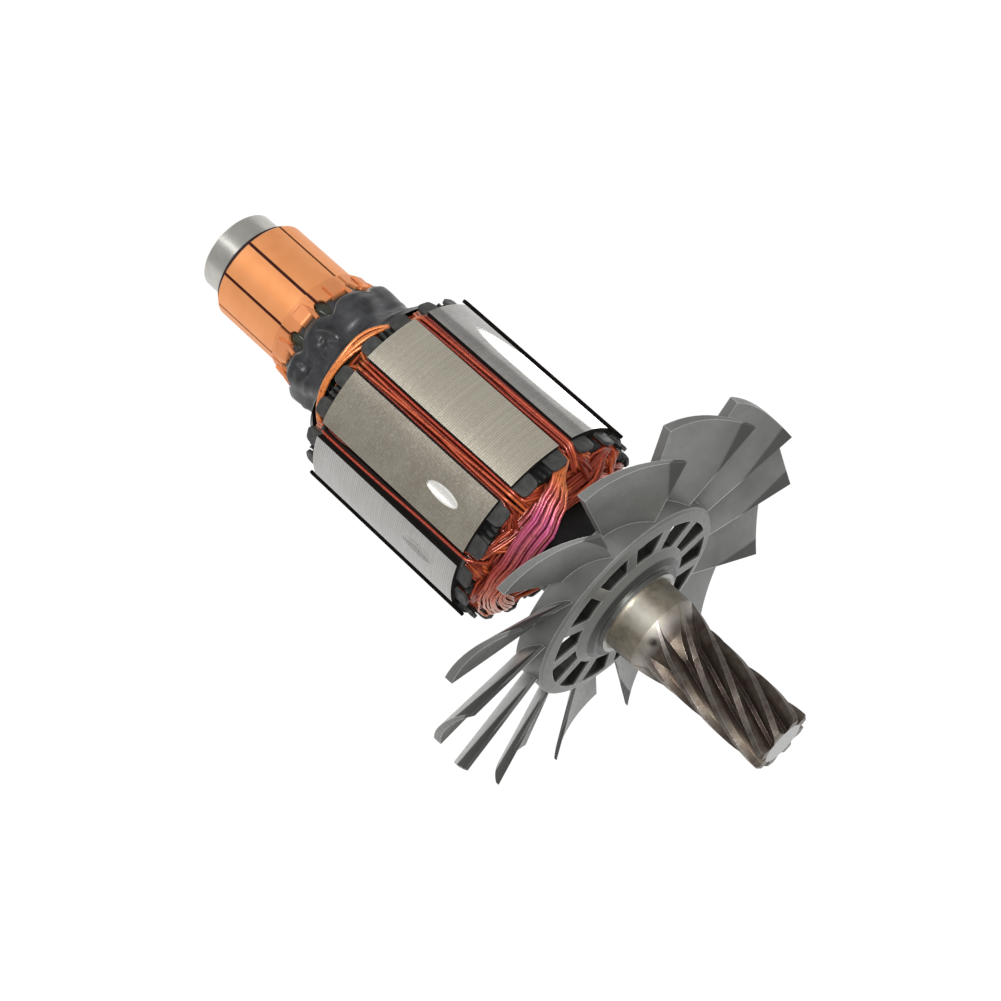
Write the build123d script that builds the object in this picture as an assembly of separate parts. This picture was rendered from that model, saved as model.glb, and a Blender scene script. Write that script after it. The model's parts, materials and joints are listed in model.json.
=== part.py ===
from build123d import *
from math import atan, atan2, cos, degrees, hypot, radians, sin, sqrt, tan
import os

# Wound armature of a universal motor, in millimetres.
# It is built along its shaft: X points to the pinion, X = 0 is the core's front face,
# and angles run from +Y towards +Z. At the end it is laid down as it rests on a table,
# on two fan blades and the rear edge of the commutator, with the pinion end raised.

# Core, a stack of laminations with nine slots
core_radius = 23.75
core_length = 40.8
slot_count = 9
tooth_width = 4.0
tooth_tip_edge = 1.25
tooth_tip_root = 2.7
slot_opening = 3.7
slot_floor_radius = 10.6
slot_floor_corner = 0.8
slot_phase = 20.95
balance_cut_length = 8.8
balance_cut_radius = 2.2
balance_cut_depth = 0.7
balance_cut_from_face = 10.0

# Insulation of the core
liner_thickness = 0.35
liner_overhang = 3.2
end_plate_thickness = 1.6
end_plate_step = 2.6
sleeve_wall = 1.5
sleeve_collar_radius = 9.4
sleeve_collar_taper = 0.8

# Winding
winding_below_opening = 1.0
bundle_radius = 2.3
bundle_span_slots = 4
bundle_sunk = 1.6
bundle_sides = 6
front_head_height = 9.8
rear_head_height = 5.6
head_outer_radius = 19.6
head_foot_height = 3.0
head_slope = 1.2
bundle_lean = 6.0

# Commutator with nine bars
bar_count = 9
commutator_radius = 12.0
commutator_length = 22.8
commutator_from_core = 21.5
bar_depth = 3.8
bar_phase = 26.75
slit_width = 0.7
slit_fin_below = 0.4
bar_chamfer = 0.5
riser_length = 4.3
riser_step = 0.5
slit_notch_radius = 1.4
hook_width = 3.4
hook_length = 2.8
hook_thickness = 0.6
hook_beside_middle = 2.5
hook_proud = 0.5
hook_fold = 0.9
hook_tip_round = 0.3
hook_root_length = 1.2
moulding_rear_lip = 0.7
moulding_front_lip = 1.5
moulding_lip_below = 0.9
bush_wall = 1.3

# Lacquered leads between the commutator and the core
lacquer_crown = 15.1
lacquer_end_radius = 16.6
lacquer_lobe_radius = 3.4
lacquer_lobe_end_radius = 1.6
lacquer_lobe_flat = 2.0
lacquer_lobe_proud = 0.55
lacquer_lobe_place = 4.3
lacquer_step = 0.6
lacquer_rise_length = 2.2
lacquer_shoulder = 0.8
lacquer_crown_place = 5.9
lacquer_dip = 0.4
lacquer_flare_length = 2.0

# Shaft with its cut pinion
rear_journal_radius = 3.5
commutator_seat_radius = 5.0
core_seat_radius = 5.6
front_journal_radius = 8.5
fan_seat_radius = 9.0
fan_seat_start = 17.6
pinion_start = 34.6
pinion_end = 66.6
pinion_teeth = 8
pinion_tip_radius = 6.95
pinion_root_radius = 4.6
pinion_lead = 81.5
pinion_phase = 2.8
runout_length = 8.5
runout_middle = 1.6
tip_runout_length = 10.2
pinion_crest_above = 0.4
pinion_crest_half_angle = 1.5
pinion_root_sunk = 0.6
tip_half_angle = 5.0
pitch_half_angle = 11.5
root_half_angle = 17.5
shaft_chamfer = 0.6
rear_shaft_chamfer = 0.4
shaft_end_proud = 0.5

# Rear ball bearing
bearing_radius = 9.5
bearing_width = 6.0
bearing_gap = 0.75
ball_count = 7
ball_radius = 1.6
ball_pitch_radius = 6.5
ball_clearance = 0.04
race_wall = 1.3
inner_ring_wall = 1.8
shield_shoulder = 0.6
cage_width = 4.0
cage_wall = 0.9
cage_clearance = 0.08
shield_thickness = 0.3
shield_inset = 0.2
shield_clearance = 0.12
ring_chamfer = 0.4

# Cooling fan, moulded in one piece on a bush
blade_count = 13
fan_radius_rear = 46.0
fan_radius_front = 45.5
blade_rear_x = 19.9
blade_front_x = 27.2
blade_hub_rear_x = 19.2
blade_hub_front_x = 24.0
blade_tip_span = 24.4
blade_hub_span = 23.4
blade_hub_lag = 4.5
blade_tip_camber = 1.8
blade_hub_camber = 1.0
blade_front_edge = 0.7
blade_rear_edge = 1.9
drum_radius = 23.7
drum_wall = 1.8
drum_rear_x = 18.4
drum_edge_length = 0.5
drum_edge_drop = 0.6
face_rise = 0.4
drum_front_x = 25.4
face_thickness = 1.8
window_outer_radius = 21.0
window_inner_radius = 14.6
spoke_width = 2.5
spoke_after_blade = 1.7
boss_radius = 12.4
boss_front_x = 27.6
boss_taper = 1.0
fan_bush_wall = 0.9
fan_bush_proud = 0.8

# How far a cutting shape reaches past what it cuts, and how far a joined one sinks in
past = 1.0
sunk = 0.5

# Places that follow from the sizes
slot_pitch = 360 / slot_count
bar_pitch = 360 / bar_count
blade_pitch = 360 / blade_count
core_rear_x = -core_length
commutator_front_x = core_rear_x - commutator_from_core
commutator_rear_x = commutator_front_x - commutator_length
bar_inner_radius = commutator_radius - bar_depth
bush_radius = commutator_seat_radius + bush_wall
sleeve_radius = core_seat_radius + sleeve_wall
moulding_rear_x = commutator_rear_x - moulding_rear_lip
bearing_front_x = moulding_rear_x - bearing_gap
bearing_rear_x = bearing_front_x - bearing_width
bearing_mid_x = bearing_front_x - bearing_width / 2
shaft_rear_x = bearing_rear_x - shaft_end_proud
fan_bush_radius = fan_seat_radius + fan_bush_wall
fan_bush_front_x = boss_front_x + fan_bush_proud
hook_front_x = commutator_front_x + hook_proud
moulding_front_x = commutator_front_x + moulding_front_lip
inner_ring_radius = rear_journal_radius + inner_ring_wall
outer_ring_bore = bearing_radius - race_wall
rear_head_x = core_rear_x - end_plate_thickness - rear_head_height
os.makedirs("parts", exist_ok=True)


def across(x):
    """Drawing plane across the shaft at x, with its first axis at angle 0."""
    return Plane.YZ.offset(x)


def tube(x_start, x_end, outer, inner=0.0):
    """Plain ring or disc about the shaft."""
    section = Circle(outer)
    if inner > 0:
        section = section - Circle(inner)
    return extrude(across(x_start) * section, x_end - x_start)


def turned(*outline):
    """Solid turned about the shaft from points (x, radius)."""
    return revolve(make_face(Polyline(*outline, close=True)), Axis.X)


def at_angle(shape, angle):
    """The shape turned about the shaft."""
    return Rotation(angle, 0, 0) * shape


def polar(radius, angle):
    """Point across the shaft from a radius and an angle in degrees."""
    return (radius * cos(radians(angle)), radius * sin(radians(angle)))


def in_space(x, radius, angle):
    """Point in space from a place along the shaft, a radius and an angle."""
    return (x, radius * cos(radians(angle)), radius * sin(radians(angle)))


# Core and insulation


def slot_section():
    """One slot below the tooth tips, centred on angle 0."""
    slope = tan(radians(slot_pitch / 2))
    inset = tooth_width / 2 / cos(radians(slot_pitch / 2))
    shoulder = core_radius - tooth_tip_root
    lip = core_radius - tooth_tip_edge
    floor_corner = slot_floor_radius + slot_floor_corner
    floor_half = floor_corner * slope - inset
    return make_face(
        Polyline(
            (slot_floor_radius, -floor_half / 2),
            (floor_corner, -floor_half),
            (shoulder, inset - shoulder * slope),
            (lip, -slot_opening / 2),
            (lip, slot_opening / 2),
            (shoulder, shoulder * slope - inset),
            (floor_corner, floor_half),
            (slot_floor_radius, floor_half / 2),
            close=True,
        )
    )


def lined_slot_section():
    """The slot's space inside its liner."""
    return offset(slot_section(), amount=-liner_thickness, kind=Kind.INTERSECTION)


def mouth_section():
    """The opening between two tooth tips, from the slot to past the core's surface."""
    inner = core_radius - tooth_tip_root
    outer = core_radius + past
    return Pos((inner + outer) / 2, 0) * Rectangle(outer - inner, slot_opening)


def balance_cut(angle):
    """Spindle that leaves a lens-shaped cut in a tooth's face."""
    middle = -balance_cut_from_face
    half = balance_cut_length / 2
    centre_radius = core_radius + balance_cut_radius - balance_cut_depth
    arc_radius = (half**2 + balance_cut_depth**2) / (2 * balance_cut_depth)
    reach = sqrt(arc_radius**2 - (arc_radius - balance_cut_radius) ** 2)
    arc = ThreePointArc((middle - reach, 0), (middle, balance_cut_radius), (middle + reach, 0))
    closing = Line((middle + reach, 0), (middle - reach, 0))
    spindle = revolve(make_face(Curve() + [arc, closing]), Axis.X)
    return at_angle(Pos(0, centre_radius, 0) * spindle, angle)


def core_stack():
    section = Circle(core_radius) - Circle(sleeve_radius)
    for i in range(slot_count):
        turn = Rotation(0, 0, slot_phase + i * slot_pitch)
        section -= turn * (slot_section() + mouth_section())
    stack = extrude(across(core_rear_x) * section, core_length)
    stack -= balance_cut(slot_phase + slot_pitch * 2.5)
    stack -= balance_cut(slot_phase + slot_pitch * 3.4)
    return stack


def end_insulator(x_start):
    """Fibre plate with the core's outline, a little smaller."""
    section = Circle(core_radius - end_plate_step) - Circle(sleeve_radius)
    for i in range(slot_count):
        turn = Rotation(0, 0, slot_phase + i * slot_pitch)
        section -= turn * (slot_section() + mouth_section())
    return extrude(across(x_start) * section, end_plate_thickness)


def slot_liner(index):
    """Folded sheet that lines one slot and sticks out of both ends as cuffs."""
    section = slot_section() - lined_slot_section() - mouth_section()
    turn = Rotation(0, 0, slot_phase + index * slot_pitch)
    start = core_rear_x - liner_overhang
    return extrude(across(start) * (turn * section), core_length + 2 * liner_overhang)


def insulation_sleeve():
    """Moulded tube between shaft and core, with a collar up to the fan."""
    return turned(
        (rear_head_x, core_seat_radius),
        (rear_head_x, sleeve_radius),
        (end_plate_thickness, sleeve_radius),
        (end_plate_thickness, sleeve_collar_radius),
        (fan_seat_start - sleeve_collar_taper, sleeve_collar_radius),
        (fan_seat_start, sleeve_collar_radius - sleeve_collar_taper),
        (fan_seat_start, core_seat_radius),
    )


# Winding


def slot_winding(index):
    """Both coil sides that share one slot, bound into one block."""
    section = lined_slot_section() & Circle(core_radius - tooth_tip_edge - winding_below_opening)
    turn = Rotation(0, 0, slot_phase + index * slot_pitch)
    start = core_rear_x - liner_overhang
    return extrude(across(start) * (turn * section), core_length + 2 * liner_overhang)


def winding_head(face_x, away, inner, height):
    """End turns of all coils: a low ring with a bundle of wires from slot to slot."""
    foot = face_x + away * liner_overhang
    low = foot + away * head_foot_height
    high = face_x + away * (end_plate_thickness + height)
    head = turned(
        (foot, inner),
        (foot, head_outer_radius),
        (low, head_outer_radius - head_slope),
        (high - away * bundle_radius, inner + 2 * bundle_radius),
        (high - away * bundle_radius, inner),
    )
    bundles = []
    for i in range(slot_count):
        start = slot_phase + i * slot_pitch
        end = start + bundle_span_slots * slot_pitch
        leg_radius = head_outer_radius - bundle_sunk
        first = in_space(foot + away * bundle_radius / 2, leg_radius, start + bundle_lean)
        middle = in_space(high - away * bundle_radius, inner + bundle_radius, (start + end) / 2)
        last = in_space(foot + away * bundle_radius / 2, leg_radius, end - bundle_lean)
        path = ThreePointArc(first, middle, last)
        section = Plane(origin=path @ 0, z_dir=path % 0) * RegularPolygon(bundle_radius, bundle_sides)
        bundles.append(sweep(section, path=path))
    keep = tube(min(foot, high), max(foot, high), core_radius, inner)
    return (head + bundles) & keep


# Commutator


def bar_section(outer):
    """One bar's section, between two slits, centred on angle 0."""
    reach = 2 * outer
    half = bar_pitch / 2
    side = slit_width / 2 / sin(radians(half))
    wedge = make_face(
        Polyline(
            (side, 0),
            (side + reach * cos(radians(half)), -reach * sin(radians(half))),
            (side + reach * cos(radians(half)), reach * sin(radians(half))),
            close=True,
        )
    )
    return (Circle(outer) - Circle(bar_inner_radius)) & wedge


def commutator_bar(index):
    """Copper bar with a raised riser and a hook folded back over it."""
    bar = extrude(across(commutator_rear_x) * bar_section(commutator_radius), commutator_length)
    rear_edges = bar.faces().sort_by(Axis.X)[0].edges().filter_by(GeomType.CIRCLE)
    bar = chamfer(rear_edges.sort_by(SortBy.RADIUS)[-1], bar_chamfer)
    riser_radius = commutator_radius + riser_step
    riser_start = commutator_front_x - riser_length
    bar += extrude(across(riser_start) * bar_section(riser_radius), riser_length)
    drill = extrude(across(0) * Circle(slit_notch_radius), riser_radius + past)
    notch = Pos(commutator_front_x, 0, 0) * (Rotation(0, 0, 90) * drill)
    bar -= [at_angle(notch, -bar_pitch / 2), at_angle(notch, bar_pitch / 2)]
    top = riser_radius + hook_thickness
    foot_radius = bar_inner_radius + bar_depth / 2
    foot_x = hook_front_x - hook_root_length
    fold_x = hook_front_x - hook_fold
    tip_x = fold_x - hook_length
    fold_middle = (fold_x + hook_fold * sin(radians(45)), top - hook_fold + hook_fold * cos(radians(45)))
    outline = Curve() + [
        Polyline(
            (hook_front_x, top - hook_fold),
            (hook_front_x, foot_radius),
            (foot_x, foot_radius),
            (foot_x, riser_radius),
            (tip_x, riser_radius),
            (tip_x, top - hook_tip_round),
            (tip_x + hook_tip_round, top),
            (fold_x, top),
        ),
        ThreePointArc((fold_x, top), fold_middle, (hook_front_x, top - hook_fold)),
    ]
    hook = extrude(make_face(outline), hook_width / 2, both=True)
    return at_angle(bar + at_angle(hook, -hook_beside_middle), bar_phase + index * bar_pitch)


def commutator_moulding():
    """Moulded hub that holds the bars, with a fin in each slit."""
    lip_radius = commutator_radius - moulding_lip_below
    front_radius = bar_inner_radius + bar_depth / 2
    hub = tube(moulding_rear_x, moulding_front_x, bar_inner_radius, bush_radius)
    hub += tube(moulding_rear_x, commutator_rear_x, lip_radius, bush_radius)
    hub += tube(hook_front_x, moulding_front_x, front_radius, bush_radius)
    inner = bar_inner_radius - sunk
    outer = commutator_radius - slit_fin_below
    blank = Pos((inner + outer) / 2, 0) * Rectangle(outer - inner, slit_width)
    fins = []
    for i in range(bar_count):
        turn = Rotation(0, 0, bar_phase + (i + 0.5) * bar_pitch)
        fins.append(extrude(across(commutator_rear_x) * (turn * blank), commutator_length))
    return hub + fins


def commutator_bush():
    return tube(moulding_rear_x, moulding_front_x, bush_radius, commutator_seat_radius)


def lacquer_band():
    """Coated leads from the hooks to the rear winding head, swollen behind each slit."""
    crown_x = moulding_front_x + lacquer_crown_place
    band = turned(
        (moulding_front_x, sleeve_radius),
        (moulding_front_x, commutator_radius + lacquer_step),
        (moulding_front_x + lacquer_rise_length, lacquer_crown - lacquer_shoulder),
        (crown_x, lacquer_crown),
        (rear_head_x - lacquer_flare_length, lacquer_crown - lacquer_dip),
        (rear_head_x, lacquer_end_radius),
        (rear_head_x, sleeve_radius),
    )
    lobe_x = moulding_front_x + lacquer_lobe_place
    lobe_radius_place = lacquer_crown + lacquer_lobe_proud - lacquer_lobe_radius
    lobe = turned(
        (-lacquer_lobe_radius, 0),
        (-lacquer_lobe_radius, lacquer_lobe_end_radius),
        (-lacquer_lobe_flat / 2, lacquer_lobe_radius),
        (lacquer_lobe_flat / 2, lacquer_lobe_radius),
        (lacquer_lobe_radius, lacquer_lobe_end_radius),
        (lacquer_lobe_radius, 0),
    )
    lobes = []
    for i in range(bar_count):
        angle = bar_phase + (i + 0.5) * bar_pitch
        lobes.append(Pos(*in_space(lobe_x, lobe_radius_place, angle)) * lobe)
    return band + lobes


# Shaft and pinion


def pinion_section():
    """All pinion teeth, drawn past the tips so that they can run out into the journal."""
    pitch = 360 / pinion_teeth
    crest = front_journal_radius + pinion_crest_above
    middle = (pinion_root_radius + pinion_tip_radius) / 2
    flank = [
        (pinion_root_radius - pinion_root_sunk, root_half_angle),
        (pinion_root_radius, root_half_angle),
        (middle, pitch_half_angle),
        (pinion_tip_radius, tip_half_angle),
        (crest, pinion_crest_half_angle),
    ]
    section = Circle(pinion_root_radius)
    for i in range(pinion_teeth):
        rising = [polar(radius, i * pitch - half) for radius, half in flank]
        falling = [polar(radius, i * pitch + half) for radius, half in reversed(flank)]
        section += make_face(Polyline(*rising, *falling, close=True))
    return section


def shaft():
    """Stepped shaft with a helical pinion cut on its front end."""
    length = pinion_end - pinion_start
    twist = 360 * length / pinion_lead
    face = (across(pinion_start) * Rotation(0, 0, pinion_phase) * pinion_section()).faces()[0]
    teeth = Solid.extrude_linear_with_rotation(
        face, center=(pinion_start, 0, 0), normal=(length, 0, 0), angle=twist
    )
    envelope = turned(
        (pinion_start, 0),
        (pinion_start, front_journal_radius),
        (pinion_start + tip_runout_length, pinion_tip_radius),
        (pinion_end - shaft_chamfer, pinion_tip_radius),
        (pinion_end, pinion_tip_radius - shaft_chamfer),
        (pinion_end, 0),
    )
    body = turned(
        (shaft_rear_x, 0),
        (shaft_rear_x, rear_journal_radius - rear_shaft_chamfer),
        (shaft_rear_x + rear_shaft_chamfer, rear_journal_radius),
        (bearing_front_x, rear_journal_radius),
        (bearing_front_x, commutator_seat_radius),
        (moulding_front_x, commutator_seat_radius),
        (moulding_front_x, core_seat_radius),
        (fan_seat_start, core_seat_radius),
        (fan_seat_start, fan_seat_radius),
        (fan_bush_front_x, fan_seat_radius),
        (fan_bush_front_x, front_journal_radius),
        (pinion_start, front_journal_radius),
        (pinion_start + runout_length / 2, pinion_root_radius + runout_middle),
        (pinion_start + runout_length, pinion_root_radius),
        (pinion_end, pinion_root_radius),
        (pinion_end, 0),
    )
    return body + (teeth & envelope)


# Rear ball bearing


def raceway():
    """Ring-shaped space that the balls run in, cut from both rings."""
    groove = Pos(bearing_mid_x, ball_pitch_radius) * Circle(ball_radius + ball_clearance)
    return revolve(groove, Axis.X)


def bearing_ring(outer, inner, chamfer_outer):
    ring = tube(bearing_rear_x, bearing_front_x, outer, inner)
    wanted = outer if chamfer_outer else inner
    edges = ring.edges().filter_by(GeomType.CIRCLE).filter_by(lambda e: abs(e.radius - wanted) < 0.01)
    return chamfer(edges, ring_chamfer) - raceway()


def bearing_outer_ring():
    ring = bearing_ring(bearing_radius, outer_ring_bore, True)
    shoulder = tube(
        bearing_rear_x + shield_inset + shield_thickness,
        bearing_front_x - shield_inset - shield_thickness,
        outer_ring_bore,
        outer_ring_bore - shield_shoulder,
    )
    return ring + (shoulder - raceway())


def bearing_inner_ring():
    return bearing_ring(inner_ring_radius, rear_journal_radius, False)


def bearing_shield(x_start):
    inner = inner_ring_radius + shield_clearance
    return tube(x_start, x_start + shield_thickness, outer_ring_bore, inner)


def bearing_balls():
    angles = [i * 360 / ball_count for i in range(ball_count)]
    return Compound([Pos(*in_space(bearing_mid_x, ball_pitch_radius, a)) * Sphere(ball_radius) for a in angles])


def bearing_cage():
    half = cage_wall / 2
    start = bearing_mid_x - cage_width / 2
    cage = tube(start, start + cage_width, ball_pitch_radius + half, ball_pitch_radius - half)
    pocket = across(0) * Circle(ball_radius + cage_clearance)
    for i in range(ball_count):
        hole = Pos(bearing_mid_x, 0, 0) * (Rotation(0, 0, 90) * extrude(pocket, ball_pitch_radius + cage_wall))
        cage -= at_angle(hole, i * 360 / ball_count)
    return cage


# Cooling fan


def blade_section(reach, front_x, rear_x, span, lag, camber):
    """A blade's section on a plane at a distance from the shaft, thicker at the rear."""
    front_t = reach * tan(radians(-span / 2 - lag))
    rear_t = reach * tan(radians(span / 2 - lag))
    middle_t = (front_t + rear_t) / 2
    middle_x = (front_x + rear_x) / 2 - camber
    front_half = blade_front_edge / 2
    rear_half = blade_rear_edge / 2
    middle_half = (front_half + rear_half) / 2
    low = ThreePointArc(
        (front_x - front_half, front_t), (middle_x - middle_half, middle_t), (rear_x - rear_half, rear_t)
    )
    back = Line((rear_x - rear_half, rear_t), (rear_x + rear_half, rear_t))
    high = ThreePointArc(
        (rear_x + rear_half, rear_t), (middle_x + middle_half, middle_t), (front_x + front_half, front_t)
    )
    front = Line((front_x + front_half, front_t), (front_x - front_half, front_t))
    outline = make_face(Curve() + [low, back, high, front])
    return Plane(origin=(0, reach, 0), x_dir=(1, 0, 0), z_dir=(0, -1, 0)) * outline


def fan_blade():
    """One blade whose middle stands at angle 0, before its tip is trimmed."""
    root_reach = drum_radius - drum_wall / 2
    tip_reach = fan_radius_rear + past
    grow = (tip_reach - root_reach) / (fan_radius_rear - drum_radius)
    tip_front_x = blade_hub_front_x + grow * (blade_front_x - blade_hub_front_x)
    root = blade_section(
        root_reach, blade_hub_front_x, blade_hub_rear_x, blade_hub_span, blade_hub_lag, blade_hub_camber
    )
    tip = blade_section(
        tip_reach, tip_front_x, blade_rear_x, blade_tip_span, 0, blade_tip_camber
    )
    return loft([root, tip], ruled=True)


def drum_body():
    """Drum open to the rear, with its front face and boss."""
    inner_wall = drum_radius - drum_wall
    face_back = drum_front_x - face_thickness
    return turned(
        (drum_rear_x, drum_radius),
        (drum_front_x - drum_edge_length, drum_radius),
        (drum_front_x, drum_radius - drum_edge_drop),
        (drum_front_x + face_rise, window_outer_radius),
        (drum_front_x + face_rise, window_inner_radius),
        (boss_front_x, boss_radius - boss_taper),
        (boss_front_x, fan_bush_radius),
        (drum_rear_x, fan_bush_radius),
        (drum_rear_x, boss_radius),
        (face_back, boss_radius),
        (face_back, inner_wall),
        (drum_rear_x, inner_wall),
    )


def cooling_fan():
    """Drum, windows and blades, turned so that two blades stand evenly on the table."""
    trim = turned(
        (drum_rear_x - past, 0),
        (drum_rear_x - past, fan_radius_rear),
        (blade_rear_x, fan_radius_rear),
        (boss_front_x + past, fan_radius_front),
        (boss_front_x + past, 0),
    )
    hole = tube(drum_rear_x - past, boss_front_x + past, drum_radius - drum_wall / 2)
    blade = (fan_blade() & trim) - hole
    rim = [v for v in blade.vertices() if hypot(v.Y, v.Z) > fan_radius_rear - 0.01]
    corner_angle = max(degrees(atan2(v.Z, v.Y)) for v in rim)
    rest_turn = 270 - corner_angle - blade_pitch / 2
    window = Circle(window_outer_radius) - Circle(window_inner_radius)
    for i in range(blade_count):
        spoke = Pos(drum_radius / 2, 0) * Rectangle(drum_radius, spoke_width)
        window -= Rotation(0, 0, rest_turn + spoke_after_blade + i * blade_pitch) * spoke
    window_depth = face_thickness + face_rise + 2 * past
    fan = drum_body() - extrude(across(drum_front_x - face_thickness - past) * window, window_depth)
    blades = [at_angle(blade, rest_turn + i * blade_pitch) for i in range(blade_count)]
    return fan + blades


def fan_bush():
    return tube(drum_rear_x, fan_bush_front_x, fan_bush_radius, fan_seat_radius)


# All pieces by name

pieces = {
    "shaft": shaft(),
    "insulation_sleeve": insulation_sleeve(),
    "core_stack": core_stack(),
    "front_end_insulator": end_insulator(0),
    "rear_end_insulator": end_insulator(core_rear_x - end_plate_thickness),
    "front_winding_head": winding_head(0, 1, sleeve_collar_radius, front_head_height),
    "rear_winding_head": winding_head(core_rear_x, -1, sleeve_radius, rear_head_height),
    "commutator_moulding": commutator_moulding(),
    "commutator_bush": commutator_bush(),
    "lacquer_band": lacquer_band(),
    "bearing_outer_ring": bearing_outer_ring(),
    "bearing_inner_ring": bearing_inner_ring(),
    "bearing_balls": bearing_balls(),
    "bearing_cage": bearing_cage(),
    "bearing_shield_front": bearing_shield(bearing_front_x - shield_inset - shield_thickness),
    "bearing_shield_rear": bearing_shield(bearing_rear_x + shield_inset),
    "cooling_fan": cooling_fan(),
    "fan_bush": fan_bush(),
}
for i in range(slot_count):
    pieces[f"slot_liner_{i + 1}"] = slot_liner(i)
    pieces[f"slot_winding_{i + 1}"] = slot_winding(i)
for i in range(bar_count):
    pieces[f"commutator_bar_{i + 1}"] = commutator_bar(i)

# Laying the armature down: it leans on two blades' rear corners and the commutator's rear edge
fan_support = fan_radius_rear * cos(radians(blade_pitch / 2))
rest_rise = fan_support - commutator_radius
rest_run = blade_rear_x - blade_rear_edge / 2 - (commutator_rear_x + bar_chamfer)
rest_tilt = degrees(atan(rest_rise / rest_run))
laid = {name: Rotation(0, -rest_tilt, 0) * piece for name, piece in pieces.items()}
whole = Compound([solid for piece in laid.values() for solid in piece.solids()]).bounding_box()
to_origin = Pos(-whole.center().X, -whole.center().Y, -whole.min.Z)
for name, piece in laid.items():
    export_step(to_origin * piece, f"parts/{name}.step")
print(f"tilt {rest_tilt:.3f} deg, origin shift {-whole.center().X:.4f} {-whole.center().Y:.4f} {-whole.min.Z:.4f}")
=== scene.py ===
import bpy
import json
import random
from math import atan2, cos, degrees, pi, radians, sin
from mathutils import Matrix, Vector, noise


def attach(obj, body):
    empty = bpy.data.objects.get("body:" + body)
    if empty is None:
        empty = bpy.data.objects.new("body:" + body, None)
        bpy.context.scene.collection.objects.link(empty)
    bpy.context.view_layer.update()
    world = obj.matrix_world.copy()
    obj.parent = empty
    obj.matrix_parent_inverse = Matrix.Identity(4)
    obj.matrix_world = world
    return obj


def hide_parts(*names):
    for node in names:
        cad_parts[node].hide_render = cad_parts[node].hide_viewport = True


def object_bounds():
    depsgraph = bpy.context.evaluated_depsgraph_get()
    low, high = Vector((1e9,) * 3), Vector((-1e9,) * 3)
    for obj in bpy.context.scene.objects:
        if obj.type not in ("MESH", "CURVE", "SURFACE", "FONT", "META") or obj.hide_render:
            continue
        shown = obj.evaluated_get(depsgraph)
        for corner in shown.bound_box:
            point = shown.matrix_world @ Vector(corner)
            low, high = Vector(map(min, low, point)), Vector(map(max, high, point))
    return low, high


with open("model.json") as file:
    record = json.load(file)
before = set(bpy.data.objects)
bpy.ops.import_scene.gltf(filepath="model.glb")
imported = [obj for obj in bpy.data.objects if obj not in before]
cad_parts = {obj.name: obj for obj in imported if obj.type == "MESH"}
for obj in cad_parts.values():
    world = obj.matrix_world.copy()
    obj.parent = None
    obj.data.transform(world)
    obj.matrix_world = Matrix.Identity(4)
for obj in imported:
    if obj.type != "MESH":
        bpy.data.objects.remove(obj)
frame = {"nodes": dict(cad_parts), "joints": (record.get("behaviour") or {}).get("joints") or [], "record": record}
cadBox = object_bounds()
mm = 0.001
# vector noise starts from the clock unless it has a seed
noise.seed_set(11)

# The armature, in millimetres along its shaft from the core's front face, and degrees about it
armature = {
    "coreLength": 40.8,
    "slots": 9,
    "firstSlot": 20.95,
    "slotOpening": 3.7,
    "cuffLength": 3.2,
    "bars": 9,
    "firstBar": 26.75,
    "bearingMiddle": -89.55,
    "photoTurn": 72.55,
}
slotPitch = 360 / armature["slots"]
barPitch = 360 / armature["bars"]
coreRear = -armature["coreLength"]
coreMiddle = coreRear / 2

# The shaft's line in the frame: every new piece is made along X and then laid on it
turnJoint = next(joint for joint in frame["joints"] if joint["name"] == "bearing_turn")
shaftAxis = Vector(turnJoint["axis"]).normalized()
shaftTilt = atan2(shaftAxis.z, shaftAxis.x)
coreFace = Vector(turnJoint["pos_m"]) - shaftAxis * armature["bearingMiddle"] * mm
shaftPlace = Matrix.Translation(coreFace) @ Matrix.Rotation(-shaftTilt, 4, "Y")


def polar(x, radius, angle):
    # a point in metres from millimetres along the shaft, a radius and degrees
    turn = radians(angle)
    return Vector((x, radius * cos(turn), radius * sin(turn))) * mm


def slotAngle(slot):
    return armature["firstSlot"] + slot * slotPitch


def blend(a, b, share):
    return a + (b - a) * share


def smoothStep(share):
    share = min(1.0, max(0.0, share))
    return share * share * (3 - 2 * share)


def alongPath(path, share):
    # the values of a path at a share of its way, rounded between its points
    for before, after in zip(path, path[1:]):
        if share <= after[0]:
            part = smoothStep((share - before[0]) / (after[0] - before[0]))
            return [blend(a, b, part) for a, b in zip(before[1:], after[1:])]
    return list(path[-1][1:])


def pickOnly(piece):
    bpy.ops.object.select_all(action="DESELECT")
    piece.select_set(True)
    bpy.context.view_layer.objects.active = piece


def bentSheet(places, columns, rows):
    # a grid whose points are given by a function of two shares
    bpy.ops.mesh.primitive_grid_add(x_subdivisions=columns, y_subdivisions=rows, size=2)
    sheet = bpy.context.object
    for vertex in sheet.data.vertices:
        vertex.co = places((vertex.co.x + 1) / 2, (vertex.co.y + 1) / 2)
    return sheet


def faceOutwards(piece, weld=True):
    # every face looks out of the piece, and points in one place are one point
    pickOnly(piece)
    bpy.ops.object.mode_set(mode="EDIT")
    bpy.ops.mesh.select_all(action="SELECT")
    if weld:
        bpy.ops.mesh.remove_doubles(threshold=0.00001)
    bpy.ops.mesh.normals_make_consistent(inside=False)
    bpy.ops.object.mode_set(mode="OBJECT")


def joinAll(pieces, name):
    pickOnly(pieces[0])
    for piece in pieces:
        piece.select_set(True)
    bpy.ops.object.join()
    pieces[0].name = name
    return pieces[0]


def paint(piece, finish):
    piece.data.materials.clear()
    piece.data.materials.append(bpy.data.materials[finish])


def layOnShaft(piece, body, slot, *replaced):
    # from the shaft's own line to its place in the frame, then onto its body
    piece.data.transform(shaftPlace)
    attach(piece, body)
    if replaced:
        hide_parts(*replaced)


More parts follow.
